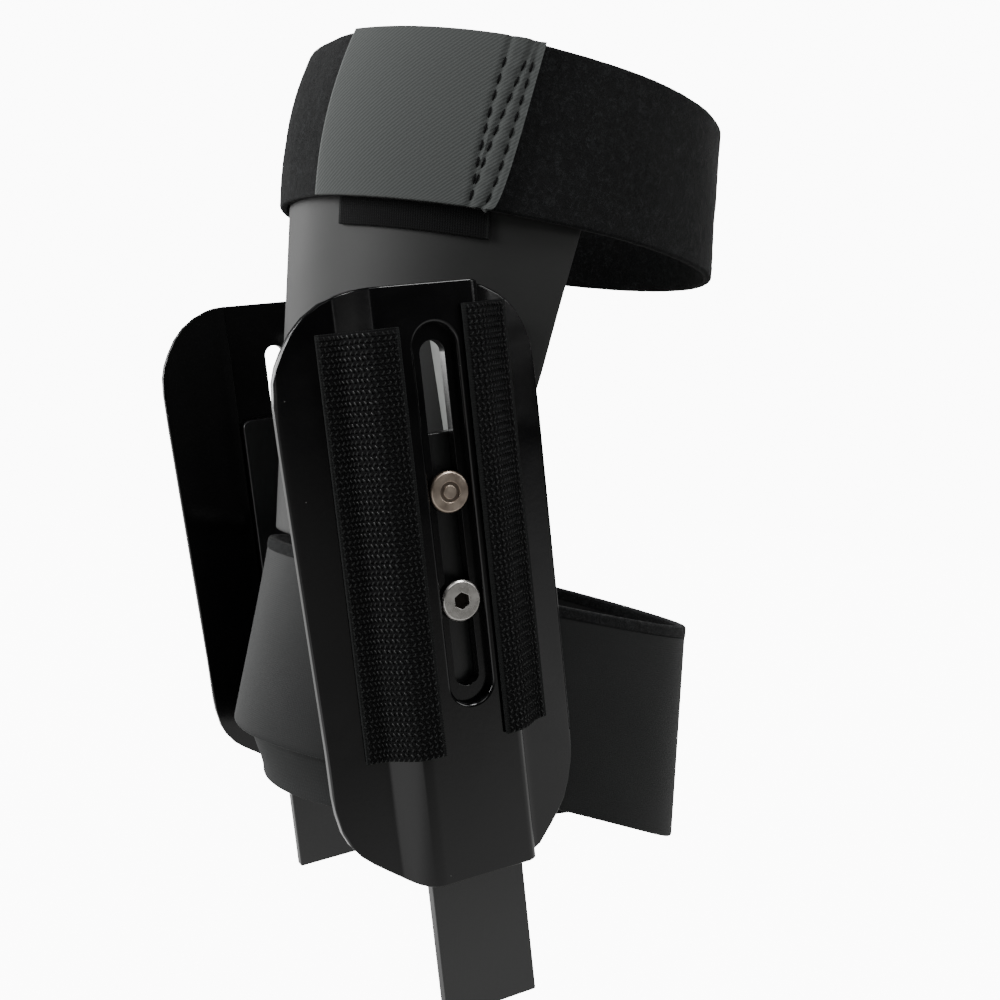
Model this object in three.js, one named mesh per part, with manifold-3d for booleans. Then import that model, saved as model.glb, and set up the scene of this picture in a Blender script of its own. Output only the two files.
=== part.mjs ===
// Double upright calf brace, in millimetres, +Z up, -Y to the rear, +X to the right.
// The origin lies on the loops' common axis, level with the middle of the two slots.
import * as THREE from "three";
import { mergeVertices } from "three/addons/utils/BufferGeometryUtils.js";
import Module from "manifold-3d";

const wasm = await Module();
wasm.setup();

// Side plates: distance of each face from the middle, set back from the loops' axis, top leaning to the rear.
// The left plate stands a little further back than the right one.
const plateFace = 62.7;
const plateSetBack = { right: 37, left: 40.5 };
const plateLean = THREE.MathUtils.degToRad(10);
const plateRows = 10;
const clearOfPlate = 10;
const rearWingRoot = -17.4;
const rearWingTaper = 0.11;
const taperTop = 25;
const taperBottom = -55;

// Plate section across its width: place, outer height, inner height, lower end, upper end.
const plateSection = [
  { across: -36.5, outer: -9.6, inner: -11.8, low: -62.5, high: 30 },
  { across: -36.1, outer: -9.3, inner: -11.9, low: -67, high: 35 },
  { across: -35, outer: -8.95, inner: -11.7, low: -72, high: 38.7 },
  { across: -33.5, outer: -8.6, inner: -11.4, low: -75.1, high: 41.7 },
  { across: -31, outer: -8, inner: -10.85, low: -78.2, high: 45.7 },
  { across: -28, outer: -7.4, inner: -10.2, low: -80.6, high: 48.9 },
  { across: -24, outer: -6.6, inner: -9.4, low: -83.3, high: 51.6 },
  { across: -22, outer: -6.3, inner: -9.1, low: -84.6, high: 52.4 },
  { across: -20.6, outer: -5.7, inner: -8.9, low: -85.5, high: 53 },
  { across: -19.2, outer: -4.45, inner: -8.7, low: -86.2, high: 53.4 },
  { across: -17.4, outer: -2.85, inner: -8.4, low: -86.9, high: 53.8 },
  { across: -16, outer: -1.7, inner: -8.2, low: -87.25, high: 54 },
  { across: -14.5, outer: -0.75, inner: -8.2, low: -87.5, high: 54.1 },
  { across: -14, outer: -0.5, inner: -5.5, low: -87.5, high: 54.1 },
  { across: -12.8, outer: -0.12, inner: -5.5, low: -87.5, high: 54.1 },
  { across: -11.6, outer: 0, inner: -5.5, low: -87.5, high: 54.1 },
  { across: 10.2, outer: 0, inner: -5.5, low: -87.5, high: 53.9 },
  { across: 11, outer: -0.2, inner: -5.5, low: -87.5, high: 53.8 },
  { across: 11.4, outer: -0.4, inner: -8, low: -87.5, high: 53.7 },
  { across: 12.4, outer: -1.3, inner: -8, low: -87.6, high: 53.4 },
  { across: 13.4, outer: -4.8, inner: -8, low: -87.4, high: 53 },
  { across: 16, outer: -5.2, inner: -8.2, low: -86.2, high: 52.2 },
  { across: 19.6, outer: -5.75, inner: -8.65, low: -82.6, high: 50.2 },
  { across: 22, outer: -6.15, inner: -9, low: -80, high: 48.4 },
  { across: 24.2, outer: -6.55, inner: -9.35, low: -77.3, high: 45.9 },
  { across: 26, outer: -6.9, inner: -9.6, low: -73.4, high: 42.8 },
  { across: 27.4, outer: -7.2, inner: -9.85, low: -69, high: 39 },
  { across: 28.2, outer: -7.4, inner: -9.9, low: -65, high: 33.5 },
  { across: 28.5, outer: -7.7, inner: -9.7, low: -60, high: 26 },
];

// Stepped slot that the fasteners slide in: a recess for the heads, then a narrower way through.
const recess = { halfWidth: 5.4, end: 45, depth: 2.5 };
const through = { halfWidth: 3.1, end: 41 };

// Hook tape strips: place across the plate and height of the glued side.
const tapeThickness = 1.5;
const rearTape = [
  { across: -26.2, under: -6.6 },
  { across: -21, under: -5.6 },
  { across: -18, under: -2.7 },
  { across: -15.5, under: -0.3 },
  { across: -14, under: 0.35 },
  { across: -8.7, under: 0.35 },
];
const frontTape = [
  { across: 7, under: 0.35 },
  { across: 10.2, under: 0.35 },
  { across: 12.2, under: -0.5 },
  { across: 17, under: -4.7 },
  { across: 20.6, under: -5.4 },
];
const rearTapeEnds = { low: -55.5, high: 44.8 };
const frontTapeEnds = { low: -54, high: 48.6 };

// Flat upright bars and their fasteners.
const barRear = -13.7;
const barFront = 10.7;
const barOuter = -5.8;
const barThickness = 3.5;
const barTop = 19.4;
const barBottom = -124;
const barCorner = 3;
const fastenerHeights = { rivet: 5.8, screw: -20.1 };
const headRadius = 5;
const headUnder = -2.2;
const headFace = -0.7;
const shankRadius = 2.5;
const shankEnd = -9;
const holeRadius = 2.85;
const rivetRing = { inner: 1.6, outer: 2.5, depth: 0.35 };
const socketRadius = 2.1;
const socketDepth = 1.1;
const headChamfer = 0.5;

// Plain spacers that carry the plates on the shell.
const spacer = { rear: 7.6, front: 25, low: -5, high: 44, outer: -9.8, inner: -24 };
const spacerCut = { height: 300, sides: 180 };
const gap = 0.3;

// Rear shell: half-widths of its outer face, thickness, and front edge by height.
const shellAcross = 52;
const shellDeep = 59.2;
const shellThickness = 2.5;
const shellColumns = 40;
const shellEdge = [
  { height: 90, degrees: 92.5 },
  { height: 70, degrees: 88 },
  { height: 50, degrees: 83.3 },
  { height: 31, degrees: 79.2 },
  { height: 8, degrees: 72 },
  { height: -4, degrees: 61 },
  { height: -11, degrees: 46 },
];
const shellRowDrop = 0.17;
const shellDropFrom = 31;
const shellDropOver = 42;

// Felt cuff: its lower edge is level at the sides, higher at the rear and lower at the front.
const cuffLower = { middle: 69.8, rise: 6.4, sway: 0 };
const cuffHeight = 41;
const cuffOverShell = 0.5;
const cuffOverPatch = 1.9;
const cuffEase = 18;
const cuffThickness = 2.2;
const cuffRearTuck = 7;
const cuffTuckFrom = 0.12;
const cuffColumns = 64;
const cuffRows = 7;

// Twill panel on the cuff and hook patch on the shell, by angle from the rear.
const panelEnds = { rearLow: 20.9, rearHigh: 24, frontLow: 66.3, frontHigh: 73.7 };
const panelThickness = 1.4;
const panelRise = 0.4;
const panelColumns = 22;
const patchEnds = { rear: 24.7, front: 65.2 };
const patchBelow = 6.6;
const patchAbove = 9;
const patchThickness = 1.2;

// Lower band: its edges rise to the rear like the cuff's, and its rear flares out.
const bandUpper = { middle: -24.5, rise: 11.6, sway: -0.5 };
const bandLower = { middle: -78.9, rise: 18.5, sway: -3.1 };
const bandAcross = 52.4;
const bandDeep = { rear: 57, front: 62 };
const bandFlare = { upper: 4, lower: 12 };
const bandThickness = 2.6;
const bandColumns = 64;
const bandRows = 5;

// Liner inside the lower band, by its level edges from the bottom up, hanging out below the band's rear.
const linerAcross = 49.4;
const linerFront = 58.8;
const linerThickness = 2;
const linerRows = [
  { edge: { middle: -78.3, rise: -0.7, sway: 0 }, rear: 60 },
  { edge: { middle: -65, rise: 1.5, sway: 0 }, rear: 64.3 },
  { edge: { middle: -50, rise: 5, sway: 0 }, rear: 62 },
];

const finishes = {
  plate: { color: 0x0d0d0e, roughness: 0.22, metalness: 0 },
  hookTape: { color: 0x151515, roughness: 0.95, metalness: 0 },
  bar: { color: 0x404243, roughness: 0.42, metalness: 0.85 },
  nickel: { color: 0xb3a79d, roughness: 0.35, metalness: 1 },
  steel: { color: 0xc9c6c2, roughness: 0.25, metalness: 1 },
  shell: { color: 0x4a4a49, roughness: 0.5, metalness: 0 },
  felt: { color: 0x151617, roughness: 1, metalness: 0 },
  twill: { color: 0x46494a, roughness: 0.9, metalness: 0 },
  band: { color: 0x3c3c3d, roughness: 0.85, metalness: 0 },
  liner: { color: 0x2a2b2b, roughness: 0.95, metalness: 0 },
};

// Height of a loop's edge at an angle from the rear: a tilt and a sway over its middle.
function edgeHeight({ middle, rise, sway }, degrees) {
  const angle = THREE.MathUtils.degToRad(degrees);
  return middle + rise * Math.cos(angle) + sway * Math.cos(2 * angle);
}

// Closed sheet between an outer and an inner grid of points; a wrapped sheet is a full loop.
function sheet(columns, rows, outer, inner, wrapped = false) {
  const positions = [];
  const index = [];
  for (const face of [outer, inner]) {
    for (let i = 0; i < columns; i++) {
      for (let j = 0; j < rows; j++) {
        positions.push(...face(i, j).toArray());
      }
    }
  }
  const at = (side, i, j) => (side * columns + (i % columns)) * rows + j;
  const quad = (a, b, c, d) => index.push(a, b, c, a, c, d);
  const lastColumn = wrapped ? columns : columns - 1;
  for (let i = 0; i < lastColumn; i++) {
    for (let j = 0; j < rows - 1; j++) {
      quad(at(0, i, j), at(0, i + 1, j), at(0, i + 1, j + 1), at(0, i, j + 1));
      quad(at(1, i, j), at(1, i, j + 1), at(1, i + 1, j + 1), at(1, i + 1, j));
    }
    const top = rows - 1;
    quad(at(0, i, 0), at(1, i, 0), at(1, i + 1, 0), at(0, i + 1, 0));
    quad(at(0, i, top), at(0, i + 1, top), at(1, i + 1, top), at(1, i, top));
  }
  if (!wrapped) {
    const end = columns - 1;
    for (let j = 0; j < rows - 1; j++) {
      quad(at(0, 0, j), at(0, 0, j + 1), at(1, 0, j + 1), at(1, 0, j));
      quad(at(0, end, j), at(1, end, j), at(1, end, j + 1), at(0, end, j + 1));
    }
  }
  const geometry = new THREE.BufferGeometry();
  geometry.setAttribute("position", new THREE.Float32BufferAttribute(positions, 3));
  geometry.setIndex(index);
  return geometry;
}

function toSolid(geometry) {
  const plain = geometry.clone();
  plain.deleteAttribute("normal");
  plain.deleteAttribute("uv");
  const merged = mergeVertices(plain, 1e-4);
  return new wasm.Manifold(
    new wasm.Mesh({
      numProp: 3,
      vertProperties: new Float32Array(merged.attributes.position.array),
      triVerts: new Uint32Array(merged.index.array),
    }),
  );
}

function toGeometry(solid) {
  const mesh = solid.getMesh();
  const geometry = new THREE.BufferGeometry();
  geometry.setAttribute("position", new THREE.BufferAttribute(mesh.vertProperties, 3));
  geometry.setIndex(new THREE.BufferAttribute(mesh.triVerts, 1));
  geometry.computeVertexNormals();
  return geometry;
}

// Upright block with round ends, between two heights over the plate.
function oblongBlock({ halfWidth, end }, from, to) {
  const straight = end - halfWidth;
  const shape = new THREE.Shape();
  shape.moveTo(halfWidth, -straight);
  shape.lineTo(halfWidth, straight);
  shape.absarc(0, straight, halfWidth, 0, Math.PI, false);
  shape.lineTo(-halfWidth, -straight);
  shape.absarc(0, -straight, halfWidth, Math.PI, 2 * Math.PI, false);
  const geometry = new THREE.ExtrudeGeometry(shape, {
    depth: to - from,
    bevelEnabled: false,
    curveSegments: 12,
  });
  geometry.translate(0, 0, from);
  return geometry;
}

// Disc or pin along the plate's own normal.
function pin(radius, from, to, height, segments = 36) {
  const geometry = new THREE.CylinderGeometry(radius, radius, to - from, segments);
  geometry.rotateX(Math.PI / 2);
  geometry.translate(0, height, (from + to) / 2);
  return geometry;
}

function finished(name, geometry, finish) {
  const mesh = new THREE.Mesh(geometry, new THREE.MeshStandardMaterial(finish));
  mesh.name = name;
  return mesh;
}

function plateGeometry() {
  const place = (i, j, side) => {
    const row = plateSection[i];
    const along = THREE.MathUtils.lerp(row.low, row.high, j / (plateRows - 1));
    const share = THREE.MathUtils.clamp((taperTop - along) / (taperTop - taperBottom), 0, 1);
    const beyond = Math.min(row.across - rearWingRoot, 0);
    return new THREE.Vector3(row.across - beyond * rearWingTaper * share, along, row[side]);
  };
  const blank = toSolid(
    sheet(
      plateSection.length,
      plateRows,
      (i, j) => place(i, j, "outer"),
      (i, j) => place(i, j, "inner"),
    ),
  );
  const wide = toSolid(oblongBlock(recess, -recess.depth, clearOfPlate));
  const narrow = toSolid(oblongBlock(through, -clearOfPlate, 0));
  return toGeometry(blank.subtract(wide).subtract(narrow));
}

function tapeGeometry(table, ends) {
  const place = (i, j, lift) =>
    new THREE.Vector3(table[i].across, j ? ends.high : ends.low, table[i].under + lift);
  return sheet(
    table.length,
    2,
    (i, j) => place(i, j, tapeThickness),
    (i, j) => place(i, j, 0),
  );
}

function barGeometry() {
  const shape = new THREE.Shape();
  shape.moveTo(barRear, barBottom);
  shape.lineTo(barFront, barBottom);
  shape.lineTo(barFront, barTop - barCorner);
  shape.quadraticCurveTo(barFront, barTop, barFront - barCorner, barTop);
  shape.lineTo(barRear + barCorner, barTop);
  shape.quadraticCurveTo(barRear, barTop, barRear, barTop - barCorner);
  const blank = new THREE.ExtrudeGeometry(shape, {
    depth: barThickness,
    bevelEnabled: false,
    curveSegments: 6,
  });
  blank.translate(0, 0, barOuter - barThickness);
  let solid = toSolid(blank);
  for (const height of Object.values(fastenerHeights)) {
    solid = solid.subtract(toSolid(pin(holeRadius, -12, -3, height)));
  }
  return toGeometry(solid);
}

function headGeometry(height) {
  const profile = [
    new THREE.Vector2(0, headUnder),
    new THREE.Vector2(headRadius, headUnder),
    new THREE.Vector2(headRadius, headFace - headChamfer),
    new THREE.Vector2(headRadius - headChamfer, headFace),
    new THREE.Vector2(0, headFace),
  ];
  const head = new THREE.LatheGeometry(profile, 40);
  head.rotateX(Math.PI / 2);
  head.translate(0, height, 0);
  return toSolid(head).add(toSolid(pin(shankRadius, shankEnd, headUnder + 0.4, height)));
}

function rivetGeometry() {
  const height = fastenerHeights.rivet;
  const base = headFace - rivetRing.depth;
  const ring = toSolid(pin(rivetRing.outer, base, 2, height, 28));
  const core = toSolid(pin(rivetRing.inner, base - 1, 3, height, 28));
  return toGeometry(headGeometry(height).subtract(ring.subtract(core)));
}

function screwGeometry() {
  const height = fastenerHeights.screw;
  const socket = toSolid(pin(socketRadius, headFace - socketDepth, 2, height, 6));
  return toGeometry(headGeometry(height).subtract(socket));
}

// Point at an angle from the rear on an oval about the loops' axis.
function ovalPoint(degrees, across, deep, height) {
  const angle = THREE.MathUtils.degToRad(degrees);
  return new THREE.Vector3(across * Math.sin(angle), -deep * Math.cos(angle), height);
}

function shellGeometry() {
  const place = (i, j, inset) => {
    const row = shellEdge[shellEdge.length - 1 - j];
    const degrees = THREE.MathUtils.lerp(-row.degrees, row.degrees, i / (shellColumns - 1));
    const point = ovalPoint(degrees, shellAcross - inset, shellDeep - inset, row.height);
    const belowMiddle = THREE.MathUtils.clamp((shellDropFrom - row.height) / shellDropOver, 0, 1);
    point.z -= belowMiddle * shellRowDrop * (point.y + shellDeep);
    return point;
  };
  return sheet(
    shellColumns,
    shellEdge.length,
    (i, j) => place(i, j, 0),
    (i, j) => place(i, j, shellThickness),
  );
}

// The cuff lies close to the shell and lifts over the hook patch, easing down on both sides.
function cuffLift(degrees) {
  const turned = degrees > 180 ? degrees - 360 : degrees;
  const away = Math.max(patchEnds.rear - turned, turned - patchEnds.front, 0);
  const ease = THREE.MathUtils.smoothstep(away, 0, cuffEase);
  return THREE.MathUtils.lerp(cuffOverPatch, cuffOverShell, ease);
}

// Point on the cuff's faces: angle from the rear, share of its height, and rise over its inner face.
function cuffPoint(degrees, share, riseOverInner) {
  const rise = cuffLift(degrees) + riseOverInner;
  const height = edgeHeight(cuffLower, degrees) + share * cuffHeight;
  const point = ovalPoint(degrees, shellAcross + rise, shellDeep + rise, height);
  const rearShare = Math.max(-point.y / (shellDeep + rise), 0);
  const tuckShare = Math.max((share - cuffTuckFrom) / (1 - cuffTuckFrom), 0);
  point.y += cuffRearTuck * tuckShare ** 2 * rearShare;
  return point;
}

function cuffGeometry() {
  const place = (i, j, rise) => cuffPoint((360 * i) / cuffColumns, j / (cuffRows - 1), rise);
  return sheet(
    cuffColumns,
    cuffRows,
    (i, j) => place(i, j, cuffThickness),
    (i, j) => place(i, j, 0),
    true,
  );
}

function panelGeometry() {
  const place = (i, j, rise) => {
    const share = j / (cuffRows - 1);
    const rear = THREE.MathUtils.lerp(panelEnds.rearLow, panelEnds.rearHigh, share);
    const front = THREE.MathUtils.lerp(panelEnds.frontLow, panelEnds.frontHigh, share);
    return cuffPoint(THREE.MathUtils.lerp(rear, front, i / (panelColumns - 1)), share, rise);
  };
  const under = cuffThickness + panelRise;
  return sheet(
    panelColumns,
    cuffRows,
    (i, j) => place(i, j, under + panelThickness),
    (i, j) => place(i, j, under),
  );
}

function patchGeometry() {
  const place = (i, j, rise) => {
    const degrees = THREE.MathUtils.lerp(patchEnds.rear, patchEnds.front, i / (panelColumns - 1));
    const lower = edgeHeight(cuffLower, degrees);
    return ovalPoint(
      degrees,
      shellAcross + rise,
      shellDeep + rise,
      lower + (j ? patchAbove : -patchBelow),
    );
  };
  return sheet(
    panelColumns,
    2,
    (i, j) => place(i, j, gap + patchThickness),
    (i, j) => place(i, j, gap),
  );
}

function bandGeometry() {
  const place = (i, j, inset) => {
    const degrees = (360 * i) / bandColumns;
    const share = j / (bandRows - 1);
    const lower = edgeHeight(bandLower, degrees);
    const height = THREE.MathUtils.lerp(lower, edgeHeight(bandUpper, degrees), share);
    const deep = Math.cos(THREE.MathUtils.degToRad(degrees)) > 0 ? bandDeep.rear : bandDeep.front;
    const point = ovalPoint(degrees, bandAcross - inset, deep - inset, height);
    const rearShare = Math.max(-point.y / (deep - inset), 0);
    const flare = THREE.MathUtils.lerp(bandFlare.lower, bandFlare.upper, share);
    point.y -= flare * rearShare;
    return point;
  };
  return sheet(
    bandColumns,
    bandRows,
    (i, j) => place(i, j, 0),
    (i, j) => place(i, j, bandThickness),
    true,
  );
}

function linerGeometry() {
  const place = (i, j, inset) => {
    const degrees = (360 * i) / bandColumns;
    const { edge, rear } = linerRows[j];
    const deep = Math.cos(THREE.MathUtils.degToRad(degrees)) > 0 ? rear : linerFront;
    return ovalPoint(degrees, linerAcross - inset, deep - inset, edgeHeight(edge, degrees));
  };
  return sheet(
    bandColumns,
    linerRows.length,
    (i, j) => place(i, j, 0),
    (i, j) => place(i, j, linerThickness),
    true,
  );
}

// Plain block between a plate's front wing and the shell, hollowed to the shell's face.
function spacerGeometry(placement) {
  const block = new THREE.BoxGeometry(
    spacer.front - spacer.rear,
    spacer.high - spacer.low,
    spacer.outer - spacer.inner,
  );
  block.translate(
    (spacer.rear + spacer.front) / 2,
    (spacer.low + spacer.high) / 2,
    (spacer.outer + spacer.inner) / 2,
  );
  block.applyMatrix4(placement);
  const core = new THREE.CylinderGeometry(1, 1, spacerCut.height, spacerCut.sides);
  core.rotateX(Math.PI / 2);
  core.scale(shellAcross + gap, shellDeep + gap, 1);
  const cut = toSolid(block).subtract(toSolid(core));
  const geometry = toGeometry(cut);
  geometry.applyMatrix4(placement.clone().invert());
  geometry.computeVertexNormals();
  return geometry;
}

const brace = new THREE.Group();
brace.name = "double_upright_calf_brace";

brace.add(finished("rear_shell", shellGeometry(), finishes.shell));
brace.add(finished("shell_hook_patch", patchGeometry(), finishes.hookTape));
brace.add(finished("cuff_wrap", cuffGeometry(), finishes.felt));
brace.add(finished("cuff_twill_panel", panelGeometry(), finishes.twill));
brace.add(finished("lower_band", bandGeometry(), finishes.band));
brace.add(finished("band_liner", linerGeometry(), finishes.liner));

// Each side is built in its plate's own frame, and the left one is turned over to mirror the right.
for (const [side, mirror] of [
  ["right", 1],
  ["left", -1],
]) {
  const flip = new THREE.Group();
  flip.name = side + "_side";
  flip.scale.x = mirror;
  const plateFrame = new THREE.Group();
  plateFrame.name = side + "_plate_frame";
  const across = new THREE.Vector3(0, Math.cos(plateLean), Math.sin(plateLean));
  const along = new THREE.Vector3(0, -Math.sin(plateLean), Math.cos(plateLean));
  const placement = new THREE.Matrix4().makeBasis(across, along, new THREE.Vector3(1, 0, 0));
  placement.setPosition(plateFace, -plateSetBack[side], 0);
  plateFrame.applyMatrix4(placement);
  plateFrame.add(finished(side + "_plate", plateGeometry(), finishes.plate));
  plateFrame.add(
    finished(side + "_hook_strip_rear", tapeGeometry(rearTape, rearTapeEnds), finishes.hookTape),
  );
  plateFrame.add(
    finished(side + "_hook_strip_front", tapeGeometry(frontTape, frontTapeEnds), finishes.hookTape),
  );
  plateFrame.add(finished(side + "_upright_bar", barGeometry(), finishes.bar));
  plateFrame.add(finished(side + "_rivet", rivetGeometry(), finishes.nickel));
  plateFrame.add(finished(side + "_socket_screw", screwGeometry(), finishes.steel));
  plateFrame.add(finished(side + "_shell_spacer", spacerGeometry(placement), finishes.shell));
  flip.add(plateFrame);
  brace.add(flip);
}

export default brace;
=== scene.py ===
import math

import bpy
from mathutils import Matrix, Vector, noise


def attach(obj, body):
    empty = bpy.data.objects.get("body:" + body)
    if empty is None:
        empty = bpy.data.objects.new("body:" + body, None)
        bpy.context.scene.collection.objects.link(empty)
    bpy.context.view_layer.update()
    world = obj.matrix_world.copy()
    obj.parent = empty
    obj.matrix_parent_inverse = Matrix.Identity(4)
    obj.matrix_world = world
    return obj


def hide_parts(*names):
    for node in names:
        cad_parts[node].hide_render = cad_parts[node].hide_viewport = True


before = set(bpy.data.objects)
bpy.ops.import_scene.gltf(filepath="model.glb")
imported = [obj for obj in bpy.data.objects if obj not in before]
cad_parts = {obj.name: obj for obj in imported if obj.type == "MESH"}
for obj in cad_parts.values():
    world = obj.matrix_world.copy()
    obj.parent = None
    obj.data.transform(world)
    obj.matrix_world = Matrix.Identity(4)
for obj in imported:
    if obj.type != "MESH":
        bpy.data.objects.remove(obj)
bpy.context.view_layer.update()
bpy.ops.object.select_all(action="DESELECT")
mm = 0.001
bandPeriod = 0.314  # a wave texture of scale 1 repeats at this distance
noise.seed_set(7)  # else noise vectors follow the clock
print("frame loaded")


def linearColour(hexText):
    out = []
    for i in (0, 2, 4):
        c = int(hexText[i:i + 2], 16) / 255
        out.append(c / 12.92 if c <= 0.04045 else ((c + 0.055) / 1.055) ** 2.4)
    return (*out, 1.0)


def addNode(tree, kind, settings=None, values=None, links=None, stops=None):
    node = tree.nodes.new(kind)
    for key, value in (settings or {}).items():
        setattr(node, key, value)
    for key, value in (values or {}).items():
        node.inputs[key].default_value = value
    for key, (source, socket) in (links or {}).items():
        tree.links.new(source.outputs[socket], node.inputs[key])
    for i, (place, hexText) in enumerate(stops or []):
        elements = node.color_ramp.elements
        element = elements[i] if i < len(elements) else elements.new(place)
        element.position = place
        element.color = linearColour(hexText)
    return node


def startMaterial(name):
    material = bpy.data.materials.new(name)
    material.use_nodes = True
    material.node_tree.nodes.clear()
    return material, material.node_tree


# materials

plateLook = {"black": "040405", "haze": "09090a", "dust": "5a5a58", "smear": 16.0, "peel": 1.4,
             "speck": 4.2, "speckWide": 0.035, "speckRare": 0.8}


def makePlateMaterial(look):
    # injection moulded polypropylene: wet black gloss, faint orange peel, hazed by handling, odd dust specks
    material, tree = startMaterial("polypropyleneMoulded")
    place = addNode(tree, "ShaderNodeTexCoord")
    smear = addNode(tree, "ShaderNodeTexNoise", None,
                    {"Scale": 1 / (look["smear"] * mm), "Detail": 6.0, "Distortion": 0.6},
                    {"Vector": (place, "Object")})
    tone = addNode(tree, "ShaderNodeValToRGB", links={"Fac": (smear, "Fac")},
                   stops=[(0.35, look["black"]), (0.75, look["haze"])])
    cells = addNode(tree, "ShaderNodeTexVoronoi", None, {"Scale": 1 / (look["speck"] * mm)},
                    {"Vector": (place, "Object")})
    near = addNode(tree, "ShaderNodeMath", {"operation": "LESS_THAN"}, {1: look["speckWide"]},
                   {0: (cells, "Distance")})
    draw = addNode(tree, "ShaderNodeSeparateColor", links={"Color": (cells, "Color")})
    few = addNode(tree, "ShaderNodeMath", {"operation": "GREATER_THAN"}, {1: look["speckRare"]},
                  {0: (draw, "Red")})
    dust = addNode(tree, "ShaderNodeMath", {"operation": "MULTIPLY"}, None,
                   {0: (near, "Value"), 1: (few, "Value")})
    colour = addNode(tree, "ShaderNodeMix", {"data_type": "RGBA"}, {7: linearColour(look["dust"])},
                     {0: (dust, "Value"), 6: (tone, "Color")})
    shine = addNode(tree, "ShaderNodeMapRange", None,
                    {"From Min": 0.3, "From Max": 0.7, "To Min": 0.13, "To Max": 0.24},
                    {"Value": (smear, "Fac")})
    peel = addNode(tree, "ShaderNodeTexNoise", None, {"Scale": 1 / (look["peel"] * mm), "Detail": 2.0},
                   {"Vector": (place, "Object")})
    bump = addNode(tree, "ShaderNodeBump", None, {"Strength": 0.035, "Distance": 0.3 * mm},
                   {"Height": (peel, "Fac")})
    shader = addNode(tree, "ShaderNodeBsdfPrincipled", None, {"IOR": 1.49},
                     {"Base Color": (colour, 2), "Roughness": (shine, "Result"), "Normal": (bump, "Normal")})
    addNode(tree, "ShaderNodeOutputMaterial", links={"Surface": (shader, "BSDF")})
    return material


tapeLook = {"ground": "060607", "yarn": "0f1010", "selvedge": "1b1c1c", "pick": 0.62, "edgeWide": 0.9}


def makeTapeMaterial(look):
    # woven nylon ground of hook tape: matt black picks, drawn 0.62 mm wide to show, paler bound selvedge
    material, tree = startMaterial("nylonHookTapeWoven")
    cloth = addNode(tree, "ShaderNodeUVMap", {"uv_map": "clothMillimetres"})
    edge = addNode(tree, "ShaderNodeUVMap", {"uv_map": "edgeMillimetres"})
    picks = addNode(tree, "ShaderNodeTexWave", {"bands_direction": "Y"},
                    {"Scale": bandPeriod / look["pick"], "Distortion": 1.2, "Detail": 2.0},
                    {"Vector": (cloth, "UV")})
    ends = addNode(tree, "ShaderNodeTexWave", {"bands_direction": "X"},
                   {"Scale": bandPeriod / look["pick"], "Distortion": 0.8, "Detail": 1.0},
                   {"Vector": (cloth, "UV")})
    weave = addNode(tree, "ShaderNodeMath", {"operation": "MULTIPLY"}, None,
                    {0: (picks, "Fac"), 1: (ends, "Fac")})
    tone = addNode(tree, "ShaderNodeValToRGB", links={"Fac": (weave, "Value")},
                   stops=[(0.1, look["ground"]), (0.8, look["yarn"])])
    split = addNode(tree, "ShaderNodeSeparateXYZ", links={"Vector": (edge, "UV")})
    bound = addNode(tree, "ShaderNodeMath", {"operation": "LESS_THAN"}, {1: look["edgeWide"]},
                    {0: (split, "X")})
    colour = addNode(tree, "ShaderNodeMix", {"data_type": "RGBA"}, {7: linearColour(look["selvedge"])},
                     {0: (bound, "Value"), 6: (tone, "Color")})
    bump = addNode(tree, "ShaderNodeBump", None, {"Strength": 0.5, "Distance": 0.25 * mm},
                   {"Height": (weave, "Value")})
    shader = addNode(tree, "ShaderNodeBsdfPrincipled", None, {"Roughness": 0.9, "Specular IOR Level": 0.2},
                     {"Base Color": (colour, 2), "Normal": (bump, "Normal")})
    addNode(tree, "ShaderNodeOutputMaterial", links={"Surface": (shader, "BSDF")})
    return material


hookLook = {"dark": "0f1010", "pale": "1e2020", "patchy": 5.0}


def makeHookMaterial(look):
    # drawn nylon monofilament: smoky black bristles, each with its own small glint
    material, tree = startMaterial("nylonMonofilament")
    place = addNode(tree, "ShaderNodeTexCoord")
    patchy = addNode(tree, "ShaderNodeTexNoise", None, {"Scale": 1 / (look["patchy"] * mm), "Detail": 4.0},
                     {"Vector": (place, "Object")})
    tone = addNode(tree, "ShaderNodeValToRGB", links={"Fac": (patchy, "Fac")},
                   stops=[(0.35, look["dark"]), (0.7, look["pale"])])
    shader = addNode(tree, "ShaderNodeBsdfPrincipled", None,
                     {"Roughness": 0.5, "IOR": 1.53, "Specular IOR Level": 0.32},
                     {"Base Color": (tone, "Color")})
    addNode(tree, "ShaderNodeOutputMaterial", links={"Surface": (shader, "BSDF")})
    return material


barLook = {"light": "101112", "dark": "0b0c0c", "grain": 0.9, "draw": 0.05}


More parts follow.
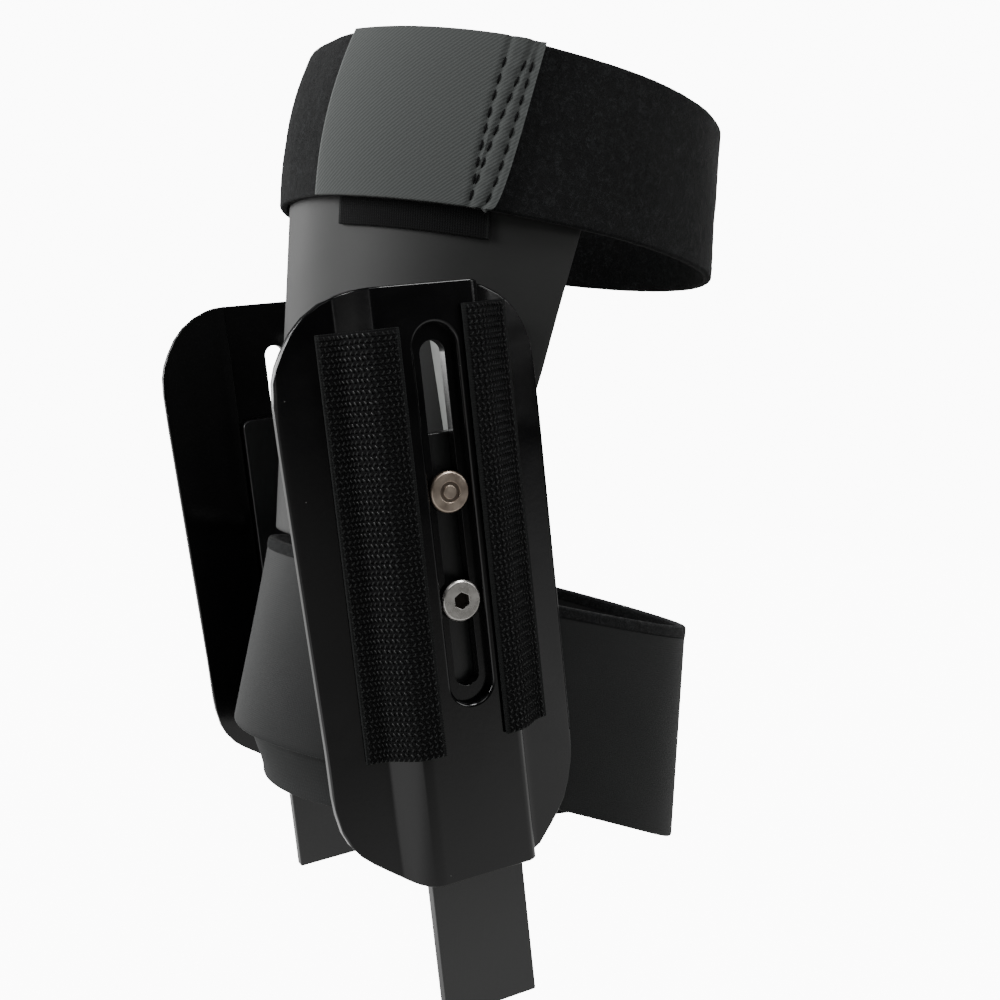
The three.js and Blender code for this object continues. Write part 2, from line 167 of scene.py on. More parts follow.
def makeBarMaterial(look):
    # drawn aluminium bar, black anodised: satin, with faint lines along its length
    material, tree = startMaterial("aluminiumBarAnodised")
    place = addNode(tree, "ShaderNodeTexCoord")
    drawn = addNode(tree, "ShaderNodeMapping", None, {"Scale": (1.0, 1.0, look["draw"])},
                    {"Vector": (place, "Object")})
    lines = addNode(tree, "ShaderNodeTexNoise", None, {"Scale": 1 / (look["grain"] * mm), "Detail": 4.0},
                    {"Vector": (drawn, "Vector")})
    tone = addNode(tree, "ShaderNodeValToRGB", links={"Fac": (lines, "Fac")},
                   stops=[(0.3, look["dark"]), (0.7, look["light"])])
    shine = addNode(tree, "ShaderNodeMapRange", None, {"To Min": 0.26, "To Max": 0.36},
                    {"Value": (lines, "Fac")})
    bump = addNode(tree, "ShaderNodeBump", None, {"Strength": 0.04, "Distance": 0.05 * mm},
                   {"Height": (lines, "Fac")})
    shader = addNode(tree, "ShaderNodeBsdfPrincipled", None, {"IOR": 1.62},
                     {"Base Color": (tone, "Color"), "Roughness": (shine, "Result"),
                      "Normal": (bump, "Normal")})
    addNode(tree, "ShaderNodeOutputMaterial", links={"Surface": (shader, "BSDF")})
    return material


# each head's sunk parts are darkened with its own colour as painted shade
rivetLook = {"name": "steelRivetNickelPlated", "light": "cfc0b1", "dark": "ab9c8e", "cloud": 2.5,
             "matt": (0.28, 0.42), "sunk": (61.6, 61.9), "sunkShade": "6a5f55"}  # sunk: from the middle plane
screwLook = {"name": "steelScrewTurned", "light": "dedbd7", "dark": "bebbb7", "cloud": 2.5,
             "matt": (0.21, 0.35), "sunk": (61.0, 61.5), "sunkShade": "2a2623"}


def makeHeadMaterial(look):
    # turned steel under bright plating, clouded by handling; the sunk parts are mixed to a darker colour as
    # painted shade
    material, tree = startMaterial(look["name"])
    place = addNode(tree, "ShaderNodeTexCoord")
    cloud = addNode(tree, "ShaderNodeTexNoise", None, {"Scale": 1 / (look["cloud"] * mm), "Detail": 4.0},
                    {"Vector": (place, "Object")})
    tone = addNode(tree, "ShaderNodeValToRGB", links={"Fac": (cloud, "Fac")},
                   stops=[(0.3, look["dark"]), (0.65, look["light"])])
    axes = addNode(tree, "ShaderNodeSeparateXYZ", links={"Vector": (place, "Object")})
    depth = addNode(tree, "ShaderNodeMath", {"operation": "ABSOLUTE"}, links={0: (axes, "X")})
    # painted shade: the deeper a point lies, the more it is mixed towards the darker sunk colour
    sunk = addNode(tree, "ShaderNodeMapRange", None,
                   {"From Min": look["sunk"][1] * mm, "From Max": look["sunk"][0] * mm},
                   {"Value": (depth, "Value")})
    colour = addNode(tree, "ShaderNodeMix", {"data_type": "RGBA"}, {7: linearColour(look["sunkShade"])},
                     {0: (sunk, "Result"), 6: (tone, "Color")})
    shine = addNode(tree, "ShaderNodeMapRange", None, {"To Min": look["matt"][0], "To Max": look["matt"][1]},
                    {"Value": (cloud, "Fac")})
    bump = addNode(tree, "ShaderNodeBump", None, {"Strength": 0.1, "Distance": 0.05 * mm},
                   {"Height": (cloud, "Fac")})
    shader = addNode(tree, "ShaderNodeBsdfPrincipled", None, {"Metallic": 1.0},
                     {"Base Color": (colour, 2), "Roughness": (shine, "Result"), "Normal": (bump, "Normal")})
    addNode(tree, "ShaderNodeOutputMaterial", links={"Surface": (shader, "BSDF")})
    return material


shellLook = {"colour": "101110", "mottle": "0d0e0d", "cloud": 18.0, "grain": 0.7}


def makeShellMaterial(look):
    # thermoformed polyethylene sheet: satin dark grey with a faint pulled mottle and fine pebble
    material, tree = startMaterial("polyethyleneThermoformed")
    place = addNode(tree, "ShaderNodeTexCoord")
    cloud = addNode(tree, "ShaderNodeTexNoise", None, {"Scale": 1 / (look["cloud"] * mm), "Detail": 5.0},
                    {"Vector": (place, "Object")})
    tone = addNode(tree, "ShaderNodeValToRGB", links={"Fac": (cloud, "Fac")},
                   stops=[(0.35, look["mottle"]), (0.7, look["colour"])])
    shine = addNode(tree, "ShaderNodeMapRange", None, {"To Min": 0.62, "To Max": 0.7},
                    {"Value": (cloud, "Fac")})
    grain = addNode(tree, "ShaderNodeTexNoise", None, {"Scale": 1 / (look["grain"] * mm), "Detail": 2.0},
                    {"Vector": (place, "Object")})
    bump = addNode(tree, "ShaderNodeBump", None, {"Strength": 0.05, "Distance": 0.2 * mm},
                   {"Height": (grain, "Fac")})
    shader = addNode(tree, "ShaderNodeBsdfPrincipled", None, {"IOR": 1.51},
                     {"Base Color": (tone, "Color"), "Roughness": (shine, "Result"),
                      "Normal": (bump, "Normal")})
    addNode(tree, "ShaderNodeOutputMaterial", links={"Surface": (shader, "BSDF")})
    return material


# painted light: the spacer is made pale so that its rear face reads bright through the slot
spacerLook = {"light": "828482", "dark": "727472", "cloud": 6.0}


def makeSpacerMaterial(look):
    # cast nylon block, sawn, matt; its pale grey is painted light, standing in for the light that reaches its
    # rear face through the slot
    material, tree = startMaterial("nylonCastSawn")
    place = addNode(tree, "ShaderNodeTexCoord")
    cloud = addNode(tree, "ShaderNodeTexNoise", None, {"Scale": 1 / (look["cloud"] * mm), "Detail": 5.0},
                    {"Vector": (place, "Object")})
    tone = addNode(tree, "ShaderNodeValToRGB", links={"Fac": (cloud, "Fac")},
                   stops=[(0.3, look["dark"]), (0.7, look["light"])])
    shader = addNode(tree, "ShaderNodeBsdfPrincipled", None, {"Roughness": 0.6, "IOR": 1.53},
                     {"Base Color": (tone, "Color")})
    addNode(tree, "ShaderNodeOutputMaterial", links={"Surface": (shader, "BSDF")})
    return material


feltLook = {"dark": "060707", "mid": "0e0f10", "fleck": "2a2c2d", "clump": 2.2, "clumpShare": 0.6,
            "fibre": 0.6}


def makeFeltMaterial(look):
    # needled polyester felt, brushed: matt black, clumped fibres, pale flecks, a soft bloom on turned edges
    material, tree = startMaterial("polyesterFeltBrushed")
    place = addNode(tree, "ShaderNodeTexCoord")
    clump = addNode(tree, "ShaderNodeTexNoise", None,
                    {"Scale": 1 / (look["clump"] * mm), "Detail": 4.0, "Distortion": 1.2},
                    {"Vector": (place, "Object")})
    fibre = addNode(tree, "ShaderNodeTexNoise", None,
                    {"Scale": 1 / (look["fibre"] * mm), "Detail": 3.0, "Distortion": 3.0},
                    {"Vector": (place, "Object")})
    pile = addNode(tree, "ShaderNodeMath", {"operation": "MULTIPLY_ADD"}, {1: look["clumpShare"]},
                   {0: (clump, "Fac"), 2: (fibre, "Fac")})
    tone = addNode(tree, "ShaderNodeValToRGB", links={"Fac": (pile, "Value")},
                   stops=[(0.5, look["dark"]), (0.86, look["mid"]), (1.0, look["fleck"])])
    bump = addNode(tree, "ShaderNodeBump", None, {"Strength": 0.8, "Distance": 0.5 * mm},
                   {"Height": (pile, "Value")})
    shader = addNode(tree, "ShaderNodeBsdfPrincipled", None,
                     {"Roughness": 1.0, "Specular IOR Level": 0.2, "Sheen Weight": 0.05,
                      "Sheen Roughness": 0.5},
                     {"Base Color": (tone, "Color"), "Normal": (bump, "Normal")})
    addNode(tree, "ShaderNodeOutputMaterial", links={"Surface": (shader, "BSDF")})
    return material


twillLook = {"dark": "343736", "light": "424544", "rib": 0.8, "climb": 45.0, "yarnsPerMm": 1.8,
             "yarnShare": 0.8, "fold": "555857", "foldWide": 0.7}


def makeTwillMaterial(look):
    # polyester twill, woven: ribs climbing at 45 degrees, drawn 0.8 mm wide to show, paler at the folded edge
    material, tree = startMaterial("polyesterTwillWoven")
    cloth = addNode(tree, "ShaderNodeUVMap", {"uv_map": "clothMillimetres"})
    edge = addNode(tree, "ShaderNodeUVMap", {"uv_map": "edgeMillimetres"})
    turn = addNode(tree, "ShaderNodeMapping", None, {"Rotation": (0, 0, math.radians(90 - look["climb"]))},
                   {"Vector": (cloth, "UV")})
    ribs = addNode(tree, "ShaderNodeTexWave", {"bands_direction": "X"},
                   {"Scale": bandPeriod / look["rib"], "Distortion": 0.5, "Detail": 2.0, "Detail Scale": 3.0},
                   {"Vector": (turn, "Vector")})
    yarn = addNode(tree, "ShaderNodeTexNoise", None, {"Scale": look["yarnsPerMm"], "Detail": 3.0},
                   {"Vector": (cloth, "UV")})
    both = addNode(tree, "ShaderNodeMath", {"operation": "MULTIPLY_ADD"}, {1: look["yarnShare"]},
                   {0: (yarn, "Fac"), 2: (ribs, "Fac")})
    tone = addNode(tree, "ShaderNodeValToRGB", links={"Fac": (both, "Value")},
                   stops=[(0.2, look["dark"]), (1.0, look["light"])])
    split = addNode(tree, "ShaderNodeSeparateXYZ", links={"Vector": (edge, "UV")})
    worn = addNode(tree, "ShaderNodeMapRange", None, {"From Min": look["foldWide"], "From Max": 0.0},
                   {"Value": (split, "X")})
    colour = addNode(tree, "ShaderNodeMix", {"data_type": "RGBA"}, {7: linearColour(look["fold"])},
                     {0: (worn, "Result"), 6: (tone, "Color")})
    bump = addNode(tree, "ShaderNodeBump", None, {"Strength": 0.2, "Distance": 0.3 * mm},
                   {"Height": (both, "Value")})
    shader = addNode(tree, "ShaderNodeBsdfPrincipled", None, {"Roughness": 0.85, "Sheen Weight": 0.08},
                     {"Base Color": (colour, 2), "Normal": (bump, "Normal")})
    addNode(tree, "ShaderNodeOutputMaterial", links={"Surface": (shader, "BSDF")})
    return material


bandLook = {"name": "polyesterTricotKnit", "dark": "1b1c1c", "light": "212222", "loop": 0.55,
            "loopShare": 0.35, "cloudsPerMm": 0.06, "matt": 0.7}
linerLook = {"name": "polyesterLiningKnit", "dark": "1e1f1f", "light": "272828", "loop": 0.9,
             "loopShare": 0.35, "cloudsPerMm": 0.06, "matt": 0.8}


def makeKnitMaterial(look):
    # warp knitted polyester: smooth and dark, loops drawn large enough to show, softly clouded by handling
    material, tree = startMaterial(look["name"])
    cloth = addNode(tree, "ShaderNodeUVMap", {"uv_map": "clothMillimetres"})
    rows, wales = (addNode(tree, "ShaderNodeTexWave", {"bands_direction": axis},
                           {"Scale": bandPeriod / look["loop"], "Distortion": 0.8, "Detail": 1.0},
                           {"Vector": (cloth, "UV")}) for axis in "YX")
    loops = addNode(tree, "ShaderNodeMath", {"operation": "MULTIPLY"}, None,
                    {0: (rows, "Fac"), 1: (wales, "Fac")})
    cloud = addNode(tree, "ShaderNodeTexNoise", None, {"Scale": look["cloudsPerMm"], "Detail": 4.0},
                    {"Vector": (cloth, "UV")})
    both = addNode(tree, "ShaderNodeMath", {"operation": "MULTIPLY_ADD"}, {1: look["loopShare"]},
                   {0: (loops, "Value"), 2: (cloud, "Fac")})
    tone = addNode(tree, "ShaderNodeValToRGB", links={"Fac": (both, "Value")},
                   stops=[(0.35, look["dark"]), (0.85, look["light"])])
    bump = addNode(tree, "ShaderNodeBump", None, {"Strength": 0.18, "Distance": 0.15 * mm},
                   {"Height": (loops, "Value")})
    shader = addNode(tree, "ShaderNodeBsdfPrincipled", None,
                     {"Roughness": look["matt"], "Specular IOR Level": 0.22},
                     {"Base Color": (tone, "Color"), "Normal": (bump, "Normal")})
    addNode(tree, "ShaderNodeOutputMaterial", links={"Surface": (shader, "BSDF")})
    return material


threadLook = {"dark": "040405", "light": "0a0a0b", "ply": 0.5}


def makeThreadMaterial(look):
    # bonded polyester sewing thread: black, twisted, slightly waxy
    material, tree = startMaterial("polyesterThreadTwisted")
    place = addNode(tree, "ShaderNodeTexCoord")
    ply = addNode(tree, "ShaderNodeTexNoise", None, {"Scale": 1 / (look["ply"] * mm), "Detail": 2.0},
                  {"Vector": (place, "Object")})
    tone = addNode(tree, "ShaderNodeValToRGB", links={"Fac": (ply, "Fac")},
                   stops=[(0.4, look["dark"]), (0.7, look["light"])])
    bump = addNode(tree, "ShaderNodeBump", None, {"Strength": 0.3, "Distance": 0.1 * mm},
                   {"Height": (ply, "Fac")})
    shader = addNode(tree, "ShaderNodeBsdfPrincipled", None, {"Roughness": 0.85, "Specular IOR Level": 0.15},
                     {"Base Color": (tone, "Color"), "Normal": (bump, "Normal")})
    addNode(tree, "ShaderNodeOutputMaterial", links={"Surface": (shader, "BSDF")})
    return material


# small helpers

sides = (("right", 1), ("left", -1))
plates = {"face": 62.7, "setBack": {1: 37.0, -1: 40.5}, "lean": 10.0, "slotRound": 0.8, "rimShare": 0.56,
          "innerShare": 0.35, "ledgeShare": 0.15, "slotHalf": 5.7, "slotEnd": 46.0, "ledgeDeep": 0.5,
          "inward": 0.7, "sharp": 28.0, "barRound": 0.4, "barSharp": 35.0, "headRound": 0.12,
          "headSharp": 30.0}
rounding = {"merge": 0.02, "flat": 0.6, "segments": 3, "smooth": 40.0, "rimSharp": 50.0, "rimSmooth": 60.0}


def platePoint(across, along, out, side):  # millimetres in a plate's own frame
    lean = math.radians(plates["lean"])
    y = across * math.cos(lean) - along * math.sin(lean) - plates["setBack"][side]
    z = across * math.sin(lean) + along * math.cos(lean)
    return Vector((side * (plates["face"] + out), y, z))


def onPlate(point, side):  # the same, from a point in metres back to millimetres across, along and out
    lean = math.radians(plates["lean"])
    y, z = point.y / mm + plates["setBack"][side], point.z / mm
    across = y * math.cos(lean) + z * math.sin(lean)
    along = z * math.cos(lean) - y * math.sin(lean)
    return across, along, side * point.x / mm - plates["face"]


def pick(obj):
    bpy.ops.object.select_all(action="DESELECT")
    obj.select_set(True)
    bpy.context.view_layer.objects.active = obj


def finishModifier(obj, kind, settings):
    pick(obj)
    modifier = obj.modifiers.new(kind.title(), kind)
    for key, value in settings.items():
        setattr(modifier, key, value)
    bpy.ops.object.modifier_apply(modifier=modifier.name)


def smoothBy(obj, degrees):
    pick(obj)
    bpy.ops.object.shade_smooth_by_angle(angle=math.radians(degrees))


def wear(obj, finish):
    obj.data.materials.clear()
    obj.data.materials.append(finish)


def mergePoints(obj):
    pick(obj)
    bpy.ops.object.mode_set(mode="EDIT")
    bpy.ops.mesh.select_all(action="SELECT")
    bpy.ops.mesh.remove_doubles(threshold=rounding["merge"] * mm)
    bpy.ops.object.mode_set(mode="OBJECT")


def weighPlateEdges(piece, side):  # rounds edges that stand out, the slot's mouth most, its ledge least
    mesh = piece.data
    weights = mesh.attributes.new("bevel_weight_edge", "FLOAT", "EDGE")
    faces = {}
    for face in mesh.polygons:
        for key in face.edge_keys:
            faces.setdefault(key, []).append(face)
    for edge in mesh.edges:
        pair = faces.get(edge.key, [])
        if len(pair) != 2 or pair[0].normal.angle(pair[1].normal, 0) < math.radians(plates["sharp"]):
            continue
        first, second = edge.vertices
        ring = list(pair[0].vertices)
        if ring[(ring.index(first) + 1) % len(ring)] != second:  # the edge as the first face runs along it
            first, second = second, first
        run = mesh.vertices[second].co - mesh.vertices[first].co
        if pair[0].normal.cross(pair[1].normal).dot(run) < 0:
            continue
        middle = (mesh.vertices[first].co + mesh.vertices[second].co) / 2
        across, along, out = onPlate(middle, side)
        inSlot = abs(across) < plates["slotHalf"] and abs(along) < plates["slotEnd"]
        inner = min(side * face.normal.x for face in pair) < -plates["inward"]
        if inSlot:
            share = plates["ledgeShare"] if out < -plates["ledgeDeep"] else 1.0
        else:
            share = plates["innerShare"] if inner else plates["rimShare"]
        weights.data[edge.index].value = share


def roundNode(nodeName, pieceName, radius, angle, finish, body, side=0):  # a copy with rounded edges
    piece = bpy.data.objects.new(pieceName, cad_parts[nodeName].data.copy())
    bpy.context.collection.objects.link(piece)
    mergePoints(piece)
    bpy.ops.object.mode_set(mode="EDIT")
    bpy.ops.mesh.dissolve_limited(angle_limit=math.radians(rounding["flat"]))
    bpy.ops.object.mode_set(mode="OBJECT")
    if side:
        weighPlateEdges(piece, side)
    finishModifier(piece, "BEVEL", {"width": radius * mm, "segments": rounding["segments"],
                                    "limit_method": "WEIGHT" if side else "ANGLE",
                                    "angle_limit": math.radians(angle), "use_clamp_overlap": False})
    smoothBy(piece, rounding["smooth"])
    finishModifier(piece, "WEIGHTED_NORMAL", {"keep_sharp": True})
    wear(piece, finish)
    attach(piece, body)
    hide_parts(nodeName)


def layFlat(name, width, height, columns, rows):  # flat cloth in millimetres; UV maps: place, edge distance
    bpy.ops.object.select_all(action="DESELECT")
    bpy.ops.mesh.primitive_grid_add(x_subdivisions=columns, y_subdivisions=rows, size=1, calc_uvs=True)
    obj = bpy.context.object
    obj.name = name
    bpy.ops.object.mode_set(mode="EDIT")
    bpy.ops.mesh.select_all(action="SELECT")
    bpy.ops.transform.resize(value=(width, height, 1))
    bpy.ops.transform.translate(value=(width / 2, height / 2, 0))
    bpy.ops.object.mode_set(mode="OBJECT")
    obj.data.uv_layers[0].name = "clothMillimetres"
    obj.data.uv_layers.new(name="edgeMillimetres")
    cloth, edge = obj.data.uv_layers
    for loop in obj.data.loops:
        point = obj.data.vertices[loop.vertex_index].co
        cloth.data[loop.index].uv = (point.x, point.y)
        edge.data[loop.index].uv = (min(point.x, width - point.x), min(point.y, height - point.y))
    return obj


def shapeTo(obj, place):  # moves each point of the flat piece to its place on the brace
    for vertex in obj.data.vertices:
        vertex.co = place(*vertex.co) * mm
    obj.data.update()


def thicken(obj, wall, edgeRound, segments=rounding["segments"]):  # grows inwards to its wall, rounds its rim
    finishModifier(obj, "SOLIDIFY", {"thickness": wall * mm, "offset": -1.0})
    finishModifier(obj, "BEVEL", {"width": edgeRound * mm, "segments": segments, "limit_method": "ANGLE",
                                  "angle_limit": math.radians(rounding["rimSharp"])})
    smoothBy(obj, rounding["rimSmooth"])


def repeat(obj, count, step):
    finishModifier(obj, "ARRAY", {"count": count, "use_relative_offset": False, "use_constant_offset": True,
                                  "constant_offset_displace": step})


plateFinish = makePlateMaterial(plateLook)
tapeFinish = makeTapeMaterial(tapeLook)
hookFinish = makeHookMaterial(hookLook)
barFinish = makeBarMaterial(barLook)
rivetFinish = makeHeadMaterial(rivetLook)
screwFinish = makeHeadMaterial(screwLook)
shellFinish = makeShellMaterial(shellLook)
spacerFinish = makeSpacerMaterial(spacerLook)
feltFinish = makeFeltMaterial(feltLook)
twillFinish = makeTwillMaterial(twillLook)
bandFinish = makeKnitMaterial(bandLook)
linerFinish = makeKnitMaterial(linerLook)
threadFinish = makeThreadMaterial(threadLook)
print("materials made")

# side plates, bars and fasteners

for sideName, side in sides:
    upright = sideName + "_upright"
    roundNode(sideName + "_plate", sideName + "PlateMoulded", plates["slotRound"], plates["sharp"],
              plateFinish, "brace", side)
    roundNode(sideName + "_upright_bar", sideName + "UprightBar", plates["barRound"], plates["barSharp"],
              barFinish, upright)
    roundNode(sideName + "_rivet", sideName + "RivetHead", plates["headRound"], plates["headSharp"],
              rivetFinish, upright)
    roundNode(sideName + "_socket_screw", sideName + "ScrewHead", plates["headRound"], plates["headSharp"],
              screwFinish, upright)
    wear(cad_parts[sideName + "_shell_spacer"], spacerFinish)
print("plates, bars and fasteners made")

# hook tape strips

rearTape = {"name": "HookStripRear", "node": "_hook_strip_rear", "low": -55.5, "high": 44.8, "ground": 0.9,
            "profile": [(-26.2, -6.6), (-21.0, -5.6), (-18.0, -2.7), (-15.5, -0.3), (-14.0, 0.35),
                        (-8.7, 0.35)],
            "bareStart": 0.9, "bareEnd": 1.4, "pitch": 1.25}
frontTape = {"name": "HookStripFront", "node": "_hook_strip_front", "low": -54.0, "high": 48.6, "ground": 0.9,
             "profile": [(7.0, 0.35), (10.2, 0.35), (12.2, -0.5), (17.0, -4.7), (20.6, -5.4)],
             "bareStart": 0.9, "bareEnd": 0.9, "pitch": 1.25}
tapes = {"grid": (30, 16), "edgeRound": 0.3, "edgeSegments": 2, "soft": (-1.4, -0.7, 0.0, 0.7, 1.4),
         "reach": 0.3, "seed": 3.0, "smooth": 35.0}
hooks = {"thick": 0.28, "stem": 0.3, "up": 0.9, "moves": ((0, 0.08, 0.2), (0, 0.28, 0.1), (0, 0.3, -0.1)),
         "tip": 0.65, "lean": 34.0, "twist": 25.0, "draw": (7.3, 5.1), "uneven": 0.2, "unevenTall": 0.15,
         "start": 0.3, "sunk": 0.05}


def profileLength(profile):
    return sum(math.dist(a, b) for a, b in zip(profile, profile[1:]))


def profilePoint(profile, s):
    for a, b in zip(profile, profile[1:]):
        step = math.dist(a, b)
        if s <= step or b == profile[-1]:
            share = s / step
            return Vector((a[0] + (b[0] - a[0]) * share, a[1] + (b[1] - a[1]) * share))
        s -= step


def softPoint(profile, s):  # the tape rounds the rim instead of creasing
    spread = tapes["soft"]
    return sum((profilePoint(profile, s + d) for d in spread), Vector((0, 0))) / len(spread)


def makeHook():
    bpy.ops.object.select_all(action="DESELECT")
    bpy.ops.mesh.primitive_cube_add(size=1, location=(0, 0, 0))
    hook = bpy.context.object
    bpy.ops.object.mode_set(mode="EDIT")
    bpy.ops.mesh.select_all(action="SELECT")
    bpy.ops.transform.resize(value=(hooks["thick"], hooks["thick"], hooks["stem"]))
    bpy.ops.transform.translate(value=(0, 0, hooks["stem"] / 2))
    bpy.ops.mesh.select_all(action="DESELECT")
    bpy.ops.object.mode_set(mode="OBJECT")
    for face in hook.data.polygons:
        face.select = face.normal.z > hooks["up"]
    bpy.ops.object.mode_set(mode="EDIT")
    for move in hooks["moves"]:  # stem, crown, and the turned tip
        bpy.ops.mesh.extrude_region_move(TRANSFORM_OT_translate={"value": move})
    bpy.ops.transform.resize(value=(hooks["tip"],) * 3)
    bpy.ops.object.mode_set(mode="OBJECT")
    return hook


def makeHookField(name, width, length, values, seed):  # rows lean by turns, as a zigzag
    field = makeHook()
    field.name = name
    each = len(field.data.vertices)
    pitch = values["pitch"]
    room = width - values["bareStart"] - values["bareEnd"]
    columns = int(room / pitch) + 1
    rows = int((length - pitch) / pitch) + 1
    repeat(field, columns, (pitch, 0, 0))
    repeat(field, rows, (0, pitch, 0))
    margin = (room - (columns - 1) * pitch) / 2 + values["bareStart"]
    for vertex in field.data.vertices:
        row, column = divmod(vertex.index // each, columns)
        corner = Vector((column * pitch, row * pitch, 0))
        jitter = noise.noise_vector((column * hooks["draw"][0], row * hooks["draw"][1], seed))
        turn = math.radians(hooks["lean"] * (1 if row % 2 else -1) + hooks["twist"] * jitter.z)
        own = Matrix.Rotation(turn, 3, "Z") @ (vertex.co - corner)
        own.z *= 1 + hooks["unevenTall"] * jitter.x
        shift = Vector((margin + hooks["uneven"] * jitter.x, hooks["start"] + hooks["uneven"] * jitter.y,
                        values["ground"] - hooks["sunk"]))
        vertex.co = corner + own + shift
    wear(field, hookFinish)
    return field


def makeTape(values, sideName, side):
    profile = values["profile"]
    width = profileLength(profile)
    length = values["high"] - values["low"]
    tape = layFlat(sideName + values["name"], width, length, *tapes["grid"])
    finishModifier(tape, "SOLIDIFY", {"thickness": values["ground"], "offset": 1.0})
    finishModifier(tape, "BEVEL", {"width": tapes["edgeRound"], "segments": tapes["edgeSegments"],
                                   "limit_method": "ANGLE"})
    wear(tape, tapeFinish)
    field = makeHookField(tape.name + "Hooks", width, length, values, side * tapes["seed"])

    def place(s, t, h):
        s = min(max(s, 0.0), width)
        here = softPoint(profile, s)
        after, before = min(s + tapes["reach"], width), max(s - tapes["reach"], 0.0)
        ahead = softPoint(profile, after) - softPoint(profile, before)
        ahead.normalize()
        return platePoint(here.x - ahead.y * h, values["low"] + t, here.y + ahead.x * h, side)

    for piece in (tape, field):
        shapeTo(piece, place)
        if side < 0:
            piece.data.flip_normals()
        smoothBy(piece, tapes["smooth"])
        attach(piece, "brace")
    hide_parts(sideName + values["node"])


for sideName, side in sides:
    for values in (rearTape, frontTape):
        makeTape(values, sideName, side)
print("hook tapes made")

# rear shell; its cut edge is listed by height and degrees

shell = {"across": 52.0, "deep": 59.2, "wall": 2.5, "flat": (100, 101), "grid": (96, 60), "dropFrom": 31,
         "dropOver": 42, "rowDrop": 0.17, "edgeRound": 0.8, "soft": (-5, -2.5, 0, 2.5, 5),
         "edge": [(-11, 46), (-4, 61), (8, 72), (31, 79.2), (50, 83.3), (70, 88), (90, 92.5)]}


def ovalPoint(degrees, across, deep, height):
    angle = math.radians(degrees)
    return Vector((across * math.sin(angle), -deep * math.cos(angle), height))


def edgeDegrees(height):
    for (z0, d0), (z1, d1) in zip(shell["edge"], shell["edge"][1:]):
        if height <= z1:
            return d0 + (d1 - d0) * (height - z0) / (z1 - z0)
    return shell["edge"][-1][1]


def softEdge(height):  # the cut edge runs in a fair curve
    spread = shell["soft"]
    lowest, highest = shell["edge"][0][0], shell["edge"][-1][0]
    return sum(edgeDegrees(min(max(height + d, lowest), highest)) for d in spread) / len(spread)


def shellPlace(u, v, h):
    height = shell["edge"][0][0] + v
    turned = (2 * u / shell["flat"][0] - 1) * softEdge(height)
    point = ovalPoint(turned, shell["across"], shell["deep"], height)
    below = min(max((shell["dropFrom"] - height) / shell["dropOver"], 0), 1)
    point.z -= below * shell["rowDrop"] * (point.y + shell["deep"])
    return point


shellPiece = layFlat("rearShellFormed", *shell["flat"], *shell["grid"])
shapeTo(shellPiece, shellPlace)
thicken(shellPiece, shell["wall"], shell["edgeRound"])
wear(shellPiece, shellFinish)
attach(shellPiece, "brace")
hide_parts("rear_shell")
print("shell made")

# felt cuff over a hook patch

patch = {"rear": 24.7, "front": 65.2, "below": 6.6, "above": 9.0, "over": 0.3, "wide": 41.0, "wall": 1.1,
         "edgeRound": 0.3, "grid": (40, 12)}
cuff = {"middle": 69.8, "rise": 6.4, "height": 41.0, "over": 0.5, "overPatch": 1.9, "ease": 18.0, "wall": 2.2,
        "tuck": 7.0, "tuckFrom": 0.12, "around": 361.0, "ripple": 0.35, "rippleSize": 14, "nap": 0.12,
        "napSize": 1.7, "edgeRound": 0.7, "grid": (360, 42)}


def cuffEdge(degrees):
    return cuff["middle"] + cuff["rise"] * math.cos(math.radians(degrees))


def cuffLift(degrees):  # the felt lies close to the shell and lifts over the hook patch
    turned = degrees - 360 if degrees > 180 else degrees
    away = min(max(patch["rear"] - turned, turned - patch["front"], 0) / cuff["ease"], 1)
    return cuff["overPatch"] + (cuff["over"] - cuff["overPatch"]) * away * away * (3 - 2 * away)


def cuffSurface(degrees, share, rise):
    over = cuffLift(degrees) + rise
    height = cuffEdge(degrees) + share * cuff["height"]
    point = ovalPoint(degrees, shell["across"] + over, shell["deep"] + over, height)
    rear = max(-point.y / (shell["deep"] + over), 0)
    tucked = max((share - cuff["tuckFrom"]) / (1 - cuff["tuckFrom"]), 0) ** 2
    point.y += cuff["tuck"] * tucked * rear
    return point


def cuffPlace(u, v, h):
    degrees = 360 * u / cuff["around"]
    flat = cuffSurface(degrees, v / cuff["height"], cuff["wall"])
    wave = cuff["ripple"] * noise.noise(flat / cuff["rippleSize"])
    wave += cuff["nap"] * noise.noise(flat / cuff["napSize"])
    return cuffSurface(degrees, v / cuff["height"], cuff["wall"] + wave)


cuffPiece = layFlat("cuffWrapFelt", cuff["around"], cuff["height"], *cuff["grid"])
shapeTo(cuffPiece, cuffPlace)
mergePoints(cuffPiece)
thicken(cuffPiece, cuff["wall"], cuff["edgeRound"])
wear(cuffPiece, feltFinish)
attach(cuffPiece, "brace")
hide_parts("cuff_wrap")
print("cuff made")

# twill panel with its stitch rows: degrees at the lower edge, degrees gained to the upper edge, their curve

panel = {"rear": (20.9, 3.1, 1.0), "front": (65.4, 8.3, 0.62), "over": 4.0, "lift": 0.15, "wall": 1.4,
         "wide": 51.0, "rows": [(60.5, 4.9, 1.0), (60.2, 10.6, 1.0), (63.0, 8.9, 0.62)], "pull": 0.6,
         "pullWide": 0.8, "pucker": 0.12, "puckerSize": 2.2, "puckerFrom": 38, "puckerEase": 6,
         "edgeRound": 0.5, "grid": (130, 84)}
thread = {"stitch": 2.9, "gap": 1.1, "wide": 0.62, "halfTall": 0.42, "start": 1.2, "spare": 1.5, "dive": 0.25,
          "sink": 0.3, "rings": 8, "smooth": 60.0}


def lineDegrees(line, share):
    low, gain, curve = line
    return low + gain * max(share, 0) ** curve


